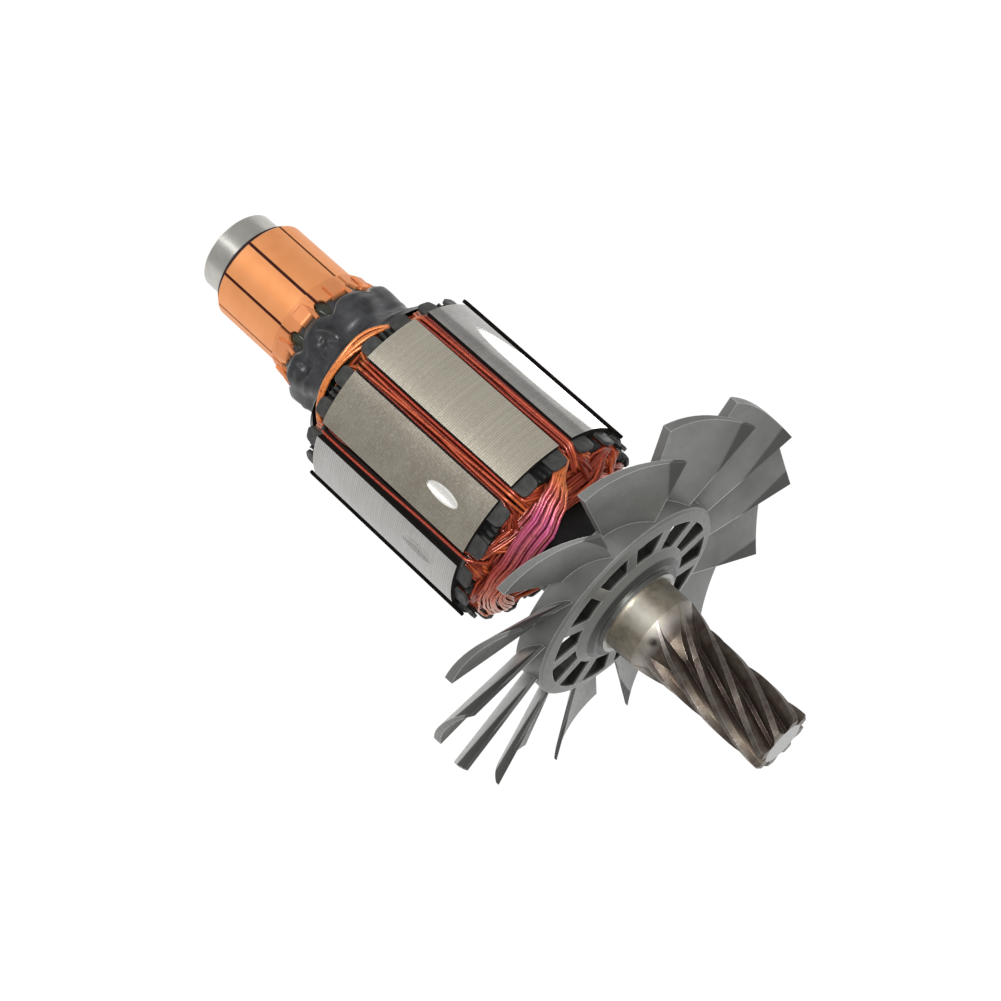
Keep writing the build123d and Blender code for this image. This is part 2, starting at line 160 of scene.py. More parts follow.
# Camera, where the photograph was taken from
photo = {
    "place": (156.0, 374.2, 196.9),
    "right": (0.6900, 0.0715, -0.7202),
    "down": (0.6259, -0.5586, 0.5442),
    "lens": 81.13,
    "sensor": 36.0,
    "nearest": 0.01,
}


def addCamera():
    turn = Matrix.Rotation(radians(armature["photoTurn"]), 4, "X")
    right = Vector(photo["right"]).normalized()
    up = -Vector(photo["down"]).normalized()
    back = right.cross(up).normalized()
    up = back.cross(right).normalized()
    rows = [(right[i], up[i], back[i], photo["place"][i] * mm) for i in range(3)]
    bpy.ops.object.camera_add()
    view = bpy.context.object
    view.name = "photoCamera"
    view.matrix_world = shaftPlace @ turn @ Matrix((*rows, (0, 0, 0, 1)))
    view.data.lens = photo["lens"]
    view.data.sensor_width = photo["sensor"]
    view.data.clip_start = photo["nearest"]
    bpy.context.scene.camera = view


bpy.ops.object.select_all(action="DESELECT")
addCamera()
print("camera placed")

# Shader nodes: short ways to add them, and groups that several materials share


class Graph:
    def __init__(self, tree):
        self.nodes, self.links = tree.nodes, tree.links

    def plug(self, value, socket):
        # a socket takes a link, a number, a color or a vector
        if isinstance(value, (int, float)):
            socket.default_value = value
        elif isinstance(value, tuple):
            socket.default_value = (*value, 1) if socket.type == "RGBA" else value
        else:
            self.links.new(value, socket)

    def plugAll(self, node, **values):
        # the inputs by name, with _ for a space
        for label, value in values.items():
            self.plug(value, node.inputs[label.replace("_", " ")])
        return node

    def add(self, kind, **values):
        return self.plugAll(self.nodes.new(f"ShaderNode{kind}"), **values)

    def math(self, operation, *values, kind="Math"):
        node = self.add(kind)
        node.operation = operation
        for value, socket in zip(values, node.inputs):
            self.plug(value, socket)
        return node.outputs["Value"]

    def times(self, first, second):
        return self.math("MULTIPLY", first, second)

    def distance(self, value, middle):
        return self.math("ABSOLUTE", self.math("SUBTRACT", value, middle))

    def length(self, vector):
        return self.math("LENGTH", vector, kind="VectorMath")

    def leanOf(self, first, second):
        return self.math("DOT_PRODUCT", first, second, kind="VectorMath")

    def spread(self, value, fromLow, fromHigh, toLow=0.0, toHigh=1.0):
        node = self.add("MapRange", Value=value, From_Min=fromLow, From_Max=fromHigh)
        return self.plugAll(node, To_Min=toLow, To_Max=toHigh).outputs["Result"]


class SharedGroup(Graph):
    # a group with its inputs' defaults and its outputs' names, of which only a place is a vector
    def __init__(self, name, inputs, *outputs):
        self.tree = bpy.data.node_groups.new(name, "ShaderNodeTree")
        super().__init__(self.tree)
        for label, value in inputs.items():
            self.socket(label, "INPUT").default_value = value
        for label in outputs:
            self.socket(label, "OUTPUT")
        self.given = self.nodes.new("NodeGroupInput").outputs
        self.results = self.nodes.new("NodeGroupOutput").inputs

    def socket(self, label, side):
        kind = "NodeSocketVector" if label == "Place" else "NodeSocketFloat"
        return self.tree.interface.new_socket(name=label, in_out=side, socket_type=kind)

    def close(self, *values):
        for value, socket in zip(values, self.results):
            self.links.new(value, socket)
        return self.tree


def makeShaftCoordinates():
    # the place in millimetres along and across the shaft, the distance along it, the radius and the angle
    group = SharedGroup("shaftCoordinates", {}, "Place", "Along", "Radius", "Angle")
    mapping = group.add("Mapping", Vector=group.add("TexCoord").outputs["Object"])
    mapping.vector_type = "TEXTURE"
    group.plugAll(mapping, Location=tuple(coreFace), Rotation=(0, -shaftTilt, 0), Scale=(mm, mm, mm))
    place = mapping.outputs["Vector"]
    split = group.add("SeparateXYZ", Vector=place).outputs
    across = group.add("CombineXYZ", Y=split["Y"], Z=split["Z"]).outputs["Vector"]
    angle = group.math("DEGREES", group.math("ARCTAN2", split["Z"], split["Y"]))
    return group.close(place, split["X"], group.length(across), angle)


def makeEdgeWear():
    # 1 on edges sharper than the rounding, 0 on flats
    group = SharedGroup("edgeWear", {"Rounding": 0.0003, "Sharpness": 6.0}, "Mask")
    bevel = group.add("Bevel", Radius=group.given["Rounding"])
    bevel.samples = 6
    lean = group.leanOf(bevel.outputs["Normal"], group.add("NewGeometry").outputs["Normal"])
    mask = group.times(group.math("SUBTRACT", 1.0, lean), group.given["Sharpness"])
    return group.close(group.add("Clamp", Value=mask).outputs["Result"])


def makeStains():
    # cloudy patches, from 0 to 1, with their size in millimetres
    group = SharedGroup("stains", {"Place": (0, 0, 0), "Size": 4.0, "Low": 0.4, "High": 0.7}, "Mask")
    scale = group.math("DIVIDE", 1.0, group.given["Size"])
    cloud = group.add("TexNoise", Vector=group.given["Place"], Scale=scale, Detail=5.0, Roughness=0.6)
    return group.close(group.spread(cloud.outputs["Fac"], group.given["Low"], group.given["High"]))


def makeTurnedRings():
    # fine rings about the shaft, as left by turning and grinding
    group = SharedGroup("turnedRings", {"Along": 0.0, "Spacing": 0.12}, "Height")
    line = group.add("CombineXYZ", X=group.math("DIVIDE", group.given["Along"], group.given["Spacing"]))
    grain = group.add("TexNoise", Vector=line.outputs["Vector"], Scale=1.0, Detail=3.0)
    return group.close(grain.outputs["Fac"])


shaftCoordinates = makeShaftCoordinates()
edgeWear = makeEdgeWear()
stains = makeStains()
turnedRings = makeTurnedRings()

# Materials


class Finish(Graph):
    # a new material, with the shaft's coordinates at hand
    def __init__(self, name, metallic, roughness, color):
        material = bpy.data.materials.new(name)
        material.use_nodes = True
        super().__init__(material.node_tree)
        self.shader = self.nodes["Principled BSDF"]
        self.plugAll(self.shader, Metallic=metallic, Roughness=roughness)
        self.tone = color
        shaft = self.addGroup(shaftCoordinates)
        self.place, self.along = shaft["Place"], shaft["Along"]
        self.radius, self.angle = shaft["Radius"], shaft["Angle"]

    def surface(self, **values):
        self.plugAll(self.shader, Base_Color=self.tone, **values)

    def addGroup(self, tree, **values):
        node = self.add("Group")
        node.node_tree = tree
        return self.plugAll(node, **values).outputs

    def mix(self, share, first, second):
        node = self.add("Mix")
        node.data_type = "RGBA"
        return self.plugAll(node, Factor=share, A=first, B=second).outputs["Result"]

    def cover(self, share, color):
        # a color laid over the tone so far
        self.tone = self.mix(share, self.tone, color)

    def ramp(self, value, *stops):
        node = self.add("ValToRGB", Fac=value)
        elements = node.color_ramp.elements
        while len(elements) < len(stops):
            elements.new(0.5)
        for element, (position, color) in zip(elements, stops):
            element.position = position
            element.color = (*color, 1)
        return node.outputs["Color"]

    def noise(self, scale, detail=4.0, vector=None):
        return self.add("TexNoise", Vector=vector or self.place, Scale=scale, Detail=detail).outputs["Fac"]

    def stretch(self, x, y, z):
        # the shaft's coordinates, stretched
        return self.add("Mapping", Vector=self.place, Scale=(x, y, z)).outputs["Vector"]

    def bump(self, height, strength, distance, before=None):
        node = self.add("Bump", Height=height, Strength=strength, Distance=distance * mm)
        if before is not None:
            self.plug(before, node.inputs["Normal"])
        return node.outputs["Normal"]

    def occlusion(self, distance, samples, onlyLocal):
        # 0 deep in a corner, 1 in the open
        node = self.add("AmbientOcclusion", Distance=distance * mm)
        node.samples, node.only_local = samples, onlyLocal
        return node.outputs["AO"]

    def attribute(self, name):
        node = self.add("Attribute")
        node.attribute_name = name
        return node.outputs["Fac"]

    def wear(self, rounding, sharpness):
        return self.addGroup(edgeWear, Rounding=rounding * mm, Sharpness=sharpness)["Mask"]

    def stain(self, size, low, high):
        return self.addGroup(stains, Place=self.place, Size=size, Low=low, High=high)["Mask"]

    def rings(self, spacing):
        return self.addGroup(turnedRings, Along=self.along, Spacing=spacing)["Height"]


coreFinish = {
    "lamination": 0.5,
    "warm": (0.40, 0.365, 0.30),
    "warmDark": (0.30, 0.265, 0.21),
    "cool": (0.44, 0.44, 0.43),
    "coolDark": (0.31, 0.31, 0.305),
    "groove": (0.12, 0.105, 0.085),
    "ground": (0.93, 0.91, 0.87),
    "bright": (0.62, 0.575, 0.47),
    "pale": (0.56, 0.56, 0.55),
    "grain": (0.60, 0.58, 0.54),
    "shade": (0.012, 0.010, 0.009),
    # degrees of the slot between the two warm teeth, and of the middle of the tooth with the cut
    "warmMiddle": 101.0,
    "cutMiddle": 121.0,
    # radii that tell the cut, the slots' walls and the core's faces from the teeth
    "cutRadius": (23.60, 23.68),
    "wallRadius": 23.70,
    "faceRadius": 23.72,
}


def coreSteel():
    steel = Finish("coreSteel", 0.6, 0.4, coreFinish["warm"])
    along, radius, angle = steel.along, steel.radius, steel.angle
    sheet = steel.math("DIVIDE", along, coreFinish["lamination"])
    groove = steel.spread(steel.distance(steel.math("FRACT", sheet), 0.5), 0.3, 0.5)
    sheetLine = steel.add("CombineXYZ", X=steel.math("FLOOR", sheet))
    sheetTone = steel.noise(7.31, 0.0, sheetLine.outputs["Vector"])
    grain = steel.noise(2.2, 6.0, steel.stretch(1.0, 0.8, 0.8))
    patches = steel.stain(6.0, 0.35, 0.7)
    warm = steel.mix(patches, coreFinish["warm"], coreFinish["warmDark"])
    # painted light: the warm tooth below 99 to 103 degrees is brightened
    warm = steel.mix(steel.spread(angle, 99.0, 103.0, 0.75, 0.0), warm, coreFinish["bright"])
    cool = steel.mix(patches, coreFinish["cool"], coreFinish["coolDark"])
    # painted reflection of the floor: the tooth beyond 140 to 142 degrees is paler
    cool = steel.mix(steel.spread(angle, 140.0, 142.0, 0.0, 0.45), cool, coreFinish["pale"])
    # the two teeth between the slots at 61, 101 and 141 degrees are warm; the other teeth are painted a cooler
    # grey, a painted reflection
    fromMiddle = steel.distance(angle, coreFinish["warmMiddle"])
    steel.tone = steel.mix(steel.spread(fromMiddle, 40.0, 42.0), warm, cool)
    steel.cover(steel.spread(sheetTone, 0.3, 0.7, 0.0, 0.3), coreFinish["warmDark"])
    steel.cover(steel.spread(grain, 0.5, 0.75, 0.0, 0.35), coreFinish["grain"])
    steel.cover(steel.times(groove, 0.5), coreFinish["groove"])
    # bare metal where the balance cut is ground in, painted near white as a highlight too
    inside = steel.spread(radius, *coreFinish["cutRadius"], 1.0, 0.0)
    besideCut = steel.distance(angle, coreFinish["cutMiddle"])
    cutShare = steel.times(inside, steel.spread(besideCut, 7.0, 8.0, 1.0, 0.0))
    steel.cover(cutShare, coreFinish["ground"])
    rough = steel.math("ADD", steel.spread(grain, 0.3, 0.7, 0.26, 0.40), steel.times(groove, 0.12))
    # the tooth that mirrors the floor is the smoothest
    dull = steel.spread(angle, 57.0, 61.0, 0.2)
    rough = steel.times(rough, dull)
    # painted shade blackens the slots' walls, and both faces of the core are painted the same near black
    turned = steel.math("ADD", angle, 360 + slotPitch / 2 - armature["firstSlot"])
    fromSlot = steel.distance(steel.math("FRACT", steel.math("DIVIDE", turned, slotPitch)), 0.5)
    inSlot = steel.math("LESS_THAN", fromSlot, 0.12)
    wall = steel.times(inSlot, steel.math("LESS_THAN", radius, coreFinish["wallRadius"]))
    atEnd = steel.math("GREATER_THAN", steel.distance(along, coreMiddle), -coreMiddle - 0.03)
    endFace = steel.times(atEnd, steel.math("LESS_THAN", radius, coreFinish["faceRadius"]))
    dark = steel.math("MAXIMUM", wall, endFace)
    steel.cover(dark, coreFinish["shade"])
    rough = steel.math("MAXIMUM", rough, steel.times(dark, 0.8))
    ridge = steel.bump(steel.times(steel.math("SUBTRACT", 1.0, groove), dull), 0.2, 0.04)
    normal = steel.bump(steel.times(steel.noise(1.2, 2.0), dull), 0.05, 0.05, ridge)
    steel.surface(Roughness=rough, Normal=normal)


shaftFinish = {
    "journal": (0.44, 0.39, 0.31),
    "journalDark": (0.27, 0.235, 0.18),
    "journalHighlight": (0.88, 0.84, 0.74),
    "journalShade": (0.11, 0.10, 0.085),
    "valleyShade": (0.035, 0.024, 0.017),
    "flank": (0.140, 0.117, 0.088),
    "tip": (0.16, 0.140, 0.12),
    "heat": (0.075, 0.046, 0.038),
    "crest": (0.66, 0.62, 0.57),
    "endFace": (0.48, 0.475, 0.47),
    "pit": (0.02, 0.015, 0.012),
    "highlightMiddle": 99.0,
    # the pit's place along the shaft and in degrees, and millimetres to a degree there
    "pitAlong": 36.4,
    "pitAngle": 118.0,
    "pitArc": 0.14,
    "frontEnd": 66.58,
}


def shaftSteel():
    steel = Finish("shaftSteel", 0.8, 0.32, shaftFinish["journal"])
    along, radius, angle = steel.along, steel.radius, steel.angle
    steel.cover(steel.stain(2.6, 0.42, 0.68), shaftFinish["journalDark"])
    # a painted highlight along the journal, and painted shade beside it in dark brown
    beside = steel.distance(angle, shaftFinish["highlightMiddle"])
    steel.cover(steel.spread(beside, 30.0, 75.0, 0.0, 0.7), shaftFinish["journalShade"])
    steel.cover(steel.spread(beside, 1.0, 26.0, 0.68, 0.0), shaftFinish["journalHighlight"])
    # painted shade: the pinion's tooth gaps are dark, lighter up the flanks to the tips
    heights = ((0.0, shaftFinish["valleyShade"]), (0.6, shaftFinish["flank"]), (1.0, shaftFinish["tip"]))
    ground, steel.tone = steel.tone, steel.ramp(steel.spread(radius, 4.6, 6.95), *heights)
    steel.cover(steel.stain(2.2, 0.4, 0.7), shaftFinish["heat"])
    # the crests' edges are worn light, with a painted highlight on them
    steel.cover(steel.times(steel.wear(0.10, 7.0), 0.9), shaftFinish["crest"])
    # a painted highlight where the cutter has run out into the journal, and a dark pit there
    runOutHighlight = steel.times(steel.spread(along, 35.5, 40.5, 0.5, 0.0), steel.spread(radius, 6.6, 7.4))
    steel.cover(runOutHighlight, shaftFinish["crest"])
    pitAlong = steel.math("SUBTRACT", along, shaftFinish["pitAlong"])
    pitAround = steel.times(steel.math("SUBTRACT", angle, shaftFinish["pitAngle"]), shaftFinish["pitArc"])
    away = steel.length(steel.add("CombineXYZ", X=pitAlong, Y=pitAround).outputs["Vector"])
    steel.cover(steel.spread(away, 0.5, 1.3, 0.9, 0.0), shaftFinish["pit"])
    steel.tone = steel.mix(steel.spread(along, 34.4, 36.6), ground, steel.tone)
    endTone = steel.mix(steel.spread(radius, 4.6, 4.8), shaftFinish["endFace"], shaftFinish["tip"])
    steel.cover(steel.math("GREATER_THAN", along, shaftFinish["frontEnd"]), endTone)
    scratch = steel.noise(3.0, 4.0, steel.stretch(0.35, 2.0, 2.0))
    rough = steel.spread(scratch, 0.3, 0.7, 0.36, 0.50)
    normal = steel.bump(scratch, 0.15, 0.05, steel.bump(steel.rings(0.10), 0.18, 0.02))
    steel.surface(Roughness=rough, Normal=normal)


def bearingSteel():
    steel = Finish("bearingSteel", 0.8, 0.3, (0.54, 0.53, 0.485))
    steel.cover(steel.stain(3.0, 0.4, 0.75), (0.46, 0.45, 0.41))
    rough = steel.spread(steel.rings(0.15), 0.3, 0.7, 0.26, 0.36)
    steel.surface(Roughness=rough, Normal=steel.bump(steel.rings(0.08), 0.1, 0.02))


def bushMetal(name, color):
    metal = Finish(name, 0.9, 0.35, color)
    metal.cover(metal.stain(2.5, 0.45, 0.75), tuple(part * 0.6 for part in color))
    metal.surface(Normal=metal.bump(metal.rings(0.1), 0.15, 0.02))


copperFinish = {
    "polished": (0.92, 0.38, 0.145),
    "brushTrack": (0.86, 0.33, 0.115),
    "tarnish": (0.62, 0.20, 0.085),
    "edge": (0.98, 0.66, 0.44),
    "deep": (0.10, 0.018, 0.010),
    "outline": (0.32, 0.09, 0.035),
}


def commutatorCopper():
    copper = Finish("commutatorCopper", 0.5, 0.48, copperFinish["polished"])
    copper.cover(copper.stain(5.0, 0.38, 0.7), copperFinish["brushTrack"])
    copper.cover(copper.times(copper.wear(0.15, 4.0), 0.3), copperFinish["edge"])
    copper.cover(copper.spread(copper.radius, 12.1, 12.7, 0.0, 0.45), copperFinish["tarnish"])
    # tarnish in the corners about the hooks, and dark walls in the slits
    copper.cover(copper.spread(copper.occlusion(0.5, 16, True), 0.35, 0.8, 0.8, 0.0), copperFinish["outline"])
    copper.cover(copper.spread(copper.radius, 11.7, 11.93, 0.95, 0.0), copperFinish["deep"])
    rough = copper.spread(copper.rings(0.12), 0.3, 0.7, 0.40, 0.54)
    copper.surface(Roughness=rough, Normal=copper.bump(copper.rings(0.08), 0.18, 0.02))


enamelFinish = {
    "dark": (0.10, 0.010, 0.006),
    # from the dullest strand to the brightest, in a slot and outside the core
    "inSlot": ((0.0, (0.10, 0.010, 0.006)), (0.5, (0.43, 0.052, 0.024)), (1.0, (0.56, 0.10, 0.035))),
    "outside": ((0.0, (0.20, 0.022, 0.010)), (0.5, (0.46, 0.065, 0.022)), (1.0, (0.74, 0.17, 0.045))),
    "rear": ((0.60, 0.11, 0.03), (0.86, 0.29, 0.07)),
    # the last-wound bundle, along its way round the front
    "heat": (
        (0.0, (0.66, 0.17, 0.03)), (0.09, (0.74, 0.19, 0.035)), (0.16, (0.60, 0.10, 0.11)),
        (0.24, (0.62, 0.10, 0.27)), (0.37, (0.60, 0.125, 0.21)), (0.50, (0.50, 0.075, 0.075)),
        (0.64, (0.52, 0.085, 0.035)), (0.8, (0.78, 0.22, 0.09))
    ),
    "heatPale": (0.72, 0.22, 0.12),
}


def enamelledWire(name, lastWound):
    wire = Finish(name, 0.3, 0.32, (0.43, 0.052, 0.024))
    strand = wire.attribute("strandTone")
    inSlot = wire.ramp(strand, *enamelFinish["inSlot"])
    outside = wire.ramp(strand, *enamelFinish["outside"])
    # the wires are brighter outside the core, above all at its rear
    wire.tone = wire.mix(wire.spread(wire.distance(wire.along, coreMiddle), 18.0, 23.5), inSlot, outside)
    rear = wire.mix(strand, *enamelFinish["rear"])
    wire.cover(wire.spread(wire.along, -42.5, -40.0, 0.8, 0.0), rear)
    if lastWound:
        # heat has turned the last-wound bundle from orange to pink about its middle
        heated = wire.ramp(wire.spread(wire.angle, 60.0, 220.0), *enamelFinish["heat"])
        heated = wire.mix(wire.spread(strand, 0.6, 0.95, 0.0, 0.6), heated, enamelFinish["heatPale"])
        wire.cover(wire.spread(wire.along, 1.5, 3.5, 0.0, 0.9), heated)
    wire.cover(wire.stain(1.2, 0.52, 0.78), enamelFinish["dark"])
    # painted shade: dark red between the strands
    wire.cover(wire.spread(wire.occlusion(1.4, 8, False), 0.25, 0.75, 0.8, 0.0), enamelFinish["dark"])
    normal = wire.bump(wire.noise(4.0, 2.0), 0.1, 0.05)
    wire.surface(Normal=normal, Coat_Weight=0.38, Coat_Roughness=0.2)


def deepWire():
    # wires far down between the coils, seen as dark red grooves, painted dark as shade
    wire = Finish("deepWire", 0.2, 0.5, enamelFinish["dark"])
    weave = wire.noise(1.3, 4.0, wire.stretch(2.2, 1.0, 1.0))
    tones = ((0.35, (0.03, 0.005, 0.004)), (0.6, enamelFinish["dark"]), (0.8, (0.28, 0.035, 0.015)))
    wire.tone = wire.ramp(weave, *tones)
    wire.surface(Normal=wire.bump(weave, 0.6, 0.5))


def slotFibre():
    fibre = Finish("slotFibre", 0.0, 0.5, (0.068, 0.068, 0.066))
    fibre.cover(fibre.stain(1.5, 0.35, 0.75), (0.030, 0.030, 0.030))
    fibre.cover(fibre.times(fibre.wear(0.12, 4.0), 0.25), (0.22, 0.22, 0.21))
    # painted shade makes the folds between the teeth and the strips in the slots blacker than the flat tabs
    fibre.cover(fibre.spread(fibre.radius, 21.7, 22.0, 0.85, 0.0), (0.006, 0.006, 0.006))
    inCore = fibre.spread(fibre.distance(fibre.along, coreMiddle), 20.2, 20.5, 0.95, 0.0)
    fibre.cover(inCore, (0.009, 0.006, 0.005))
    rough = fibre.spread(fibre.noise(1.2), 0.35, 0.65, 0.35, 0.6)
    normal = fibre.bump(fibre.noise(2.5, 5.0), 0.2, 0.1)
    fibre.surface(Roughness=rough, Normal=normal, Specular_IOR_Level=0.15)


def slotShade():
    shade = Finish("slotShade", 0.0, 0.8, (0.006, 0.005, 0.005))
    shade.cover(shade.stain(1.5, 0.4, 0.7), (0.012, 0.009, 0.008))
    shade.surface(Specular_IOR_Level=0.0)


def glossLacquer():
    gloss = Finish("glossLacquer", 0.0, 0.2, (0.056, 0.057, 0.061))
    gloss.cover(gloss.stain(5.0, 0.35, 0.7), (0.016, 0.016, 0.017))
    # painted highlight along the rim and the rear edge
    gloss.cover(gloss.attribute("rimHighlight"), (0.62, 0.58, 0.54))
    gloss.plugAll(gloss.shader, Specular_IOR_Level=0.27, Coat_Weight=0.05, Coat_Roughness=0.15)
    rough = gloss.spread(gloss.noise(0.5, 1.0), 0.35, 0.65, 0.28, 0.42)
    gloss.surface(Roughness=rough, Normal=gloss.bump(gloss.noise(0.4, 1.0), 0.08, 0.4))


def lacquerPool():
    pool = Finish("lacquerPool", 0.0, 0.12, (0.020, 0.026, 0.016))
    pool.cover(pool.stain(1.2, 0.4, 0.7), (0.05, 0.055, 0.04))
    pool.surface()


def blackMoulding():
    black = Finish("blackMoulding", 0.0, 0.45, (0.014, 0.013, 0.013))
    black.cover(black.stain(2.0, 0.4, 0.7), (0.008, 0.007, 0.007))
    # copper dust has reddened the fins between the commutator's bars
    rear = black.spread(black.along, -62.4, -62.0, 1.0, 0.0)
    black.cover(black.times(rear, black.spread(black.radius, 10.9, 11.4)), (0.045, 0.007, 0.005))
    black.surface(Normal=black.bump(black.noise(3.0, 4.0), 0.2, 0.05), Specular_IOR_Level=0.25)


fanFinish = {
    "face": (0.165, 0.167, 0.158),
    "shade": (0.110, 0.112, 0.106),
    "hub": (0.118, 0.119, 0.110),
    "boss": (0.022, 0.022, 0.019),
    "deep": (0.030, 0.030, 0.028),
    "edge": (0.55, 0.55, 0.53),
    "inside": (0.008, 0.008, 0.007),
    # where the painted light on the rear part of a blade's back meets the painted shade on its front part
    "bladeSplit": (23.2, 23.8),
}


def fanPlastic():
    fan = Finish("fanPlastic", 0.0, 0.36, fanFinish["face"])
    along, radius = fan.along, fan.radius
    fan.cover(fan.stain(14.0, 0.38, 0.66), fanFinish["shade"])
    face = fan.times(fan.spread(along, 25.0, 25.3), fan.spread(radius, 23.7, 23.9, 1.0, 0.0))
    fan.cover(face, fanFinish["hub"])
    boss = fan.times(fan.spread(along, 25.95, 26.2), fan.spread(radius, 12.6, 12.9, 1.0, 0.0))
    fan.cover(boss, fanFinish["boss"])
    # painted shade: darker in the deep places between the blades and about the hub
    fan.cover(fan.spread(fan.occlusion(12, 8, True), 0.15, 0.75, 0.65, 0.0), fanFinish["deep"])
    # lighter edges: worn, with a painted highlight
    fan.cover(fan.times(fan.wear(0.22, 6.0), 0.8), fanFinish["edge"])
    # behind, each blade is painted light along its rear part and painted shade along its front edge
    lean = fan.leanOf(fan.add("NewGeometry").outputs["Normal"], tuple(shaftAxis))
    blade = fan.spread(radius, 25.0, 27.0)
    rearFace = fan.times(fan.spread(lean, -0.7, -0.5, 1.0, 0.0), blade)
    rearPaintedLight = fan.times(rearFace, fan.spread(along, *fanFinish["bladeSplit"], 0.7, 0.0))
    fan.cover(rearPaintedLight, fanFinish["edge"])
    frontPaintedShade = fan.times(rearFace, fan.spread(along, *fanFinish["bladeSplit"], 0.0, 0.9))
    frontEdgeShade = fan.times(blade, fan.spread(along, 25.45, 25.75, 0.0, 0.8))
    dark = fan.math("MAXIMUM", frontPaintedShade, frontEdgeShade)
    fan.cover(dark, fanFinish["deep"])
    # painted shade: the inside of the drum is near black
    inside = fan.times(fan.spread(along, 25.2, 25.65, 1.0, 0.0), fan.spread(radius, 21.92, 22.0, 1.0, 0.0))
    fan.cover(inside, fanFinish["inside"])
    rough = fan.spread(fan.noise(0.9), 0.35, 0.65, 0.31, 0.42)
    rough = fan.math("MAXIMUM", rough, fan.times(dark, 0.85))
    fan.surface(Roughness=rough, Normal=fan.bump(fan.noise(1.6, 2.0), 0.04, 0.05))


for makeFinish in (
    coreSteel, shaftSteel, bearingSteel, commutatorCopper, deepWire, slotFibre, slotShade, glossLacquer,
    lacquerPool, blackMoulding, fanPlastic
):
    makeFinish()
bushMetal("bushBrass", (0.66, 0.52, 0.26))
bushMetal("bushSteel", (0.36, 0.36, 0.34))
enamelledWire("enamelledWire", False)
enamelledWire("lastWoundWire", True)

slotFinishes = {
    "core_steel": "coreSteel",
    "shaft_steel": "shaftSteel",
    "bearing_steel": "bearingSteel",
    "enamelled_copper": "enamelledWire",
    "commutator_copper": "commutatorCopper",
    "bush_brass": "bushBrass",
    "bush_steel": "bushSteel",
    "black_plastic": "blackMoulding",
    "fibre": "slotFibre",
    "lacquer": "glossLacquer",
    "fan_plastic": "fanPlastic",
}
for subpart in frame["record"]["subparts"]:
    paint(frame["nodes"][subpart["node"]], slotFinishes[subpart["material_slot"]])
print("materials made")

# Winding: each coil is a closed loop of wires through two slots and round both ends of the core
winding = {
    "wireRadius": 0.4,
    "strands": 28,
    "slotColumns": 4,
    "headAcross": 7,
    "span": 4,
    "topRow": 21.45,
    "footDrop": 2.2,
    "rowStep": 0.74,
    "columnStep": 0.82,
    "headLean": 40.0,
    "headPoints": 26,
    "slotPoints": 9,
    # share of the way round an end in which the wires turn into the head
    "turnIn": 0.15,
    "wander": 0.42,
    "loose": 1.7,
    "slotWander": 0.14,
    # middle of the first-wound coil and what each later one adds: distance from the core, radius
    "headMiddle": {"front": (3.2, 0.16, 11.3, 0.36), "rear": (3.4, 0.1, 11.6, 0.42)},
    "lastWound": 1,
    "lastStrands": 44,
    "lastAcross": 11,
    "lastRadius": 0.36,
    "lastStep": 0.68,
    # how much lower the outer strands of the last-wound bundle lie, and where its wires part
    "lastRound": 0.07,
    "lastLoose": 2.6,
    "lastParts": 0.7,
    # the last-wound bundle: share of its way, distance from the core, radius and spread
    "lastPath": (
        (0.0, 2.4, 20.0, 0.5), (0.05, 3.6, 19.0, 0.55), (0.13, 6.0, 18.4, 0.72), (0.26, 7.6, 16.8, 0.76),
        (0.45, 7.0, 15.4, 0.74), (0.60, 5.6, 16.2, 0.7), (0.72, 4.5, 17.5, 0.75), (0.86, 3.9, 18.2, 1.1),
        (1.0, 2.6, 19.8, 0.7)
    ),
}
footRadius = winding["topRow"] - winding["footDrop"]


def strandCount(coil):
    return winding["lastStrands"] if coil == winding["lastWound"] else winding["strands"]


def headPlace(end, coil, share):
    # distance from the core's face, radius and spread of a coil's middle, the first wound deepest
    if end == "front" and coil == winding["lastWound"]:
        return alongPath(winding["lastPath"], share)
    order = (coil - winding["lastWound"] - 1) % armature["slots"]
    distance, distanceStep, radius, radiusStep = winding["headMiddle"][end]
    rise = 1 - abs(2 * share - 1) ** 5
    dive = 1 - abs(2 * share - 1) ** 3
    x = blend(armature["cuffLength"] - 0.6, distance + distanceStep * order, rise)
    return x, blend(footRadius, radius + radiusStep * order, dive), 1.0


def headPoint(end, coil, strand, share):
    last = coil == winding["lastWound"]
    away = 1 if end == "front" else -1
    distance, radius, spreadShare = headPlace(end, coil, share)
    x = (0 if end == "front" else coreRear) + away * distance
    turned = smoothStep(min(share, 1 - share) / winding["turnIn"])
    side = 1 if share < 0.5 else -1
    turn = radians(slotAngle(coil + winding["span"] * share))
    outward = Vector((0, cos(turn), sin(turn)))
    around = Vector((0, -sin(turn), cos(turn)))
    outOfCore = Vector((away, 0, 0))
    lean = radians(winding["headLean"])
    wide = blend(around * side, outward * sin(lean) - outOfCore * cos(lean), turned).normalized()
    high = blend(outward, outOfCore * sin(lean) + outward * cos(lean), turned).normalized()
    columns = winding["slotColumns"]
    row = strandCount(coil) // columns - 1 - strand // columns
    slotWide = (strand % columns + 0.5) * winding["columnStep"]
    slotHigh = winding["topRow"] - row * winding["rowStep"] - footRadius
    across = winding["lastAcross"] if last else winding["headAcross"]
    step = winding["lastStep"] if last else winding["columnStep"]
    headWide = (strand % across - (across - 1) / 2) * step * spreadShare
    deep = strandCount(coil) // across
    headHigh = (strand // across - (deep - 1) / 2) * winding["rowStep"]
    headHigh -= winding["lastRound"] * headWide ** 2 if last else 0.0
    centre = Vector((x, radius * cos(turn), radius * sin(turn)))
    place = centre + wide * blend(slotWide, headWide, turned) + high * blend(slotHigh, headHigh, turned)
    seed = 3.3 if end == "front" else 8.8
    sway = noise.noise_vector(Vector((coil * 7.1 + strand * 1.7, share * 2.2, seed)))
    parts = end == "front" and last and share > winding["lastParts"]
    loose = winding["lastLoose"] if parts else winding["loose"]
    return (place + sway * winding["wander"] * turned * loose) * mm


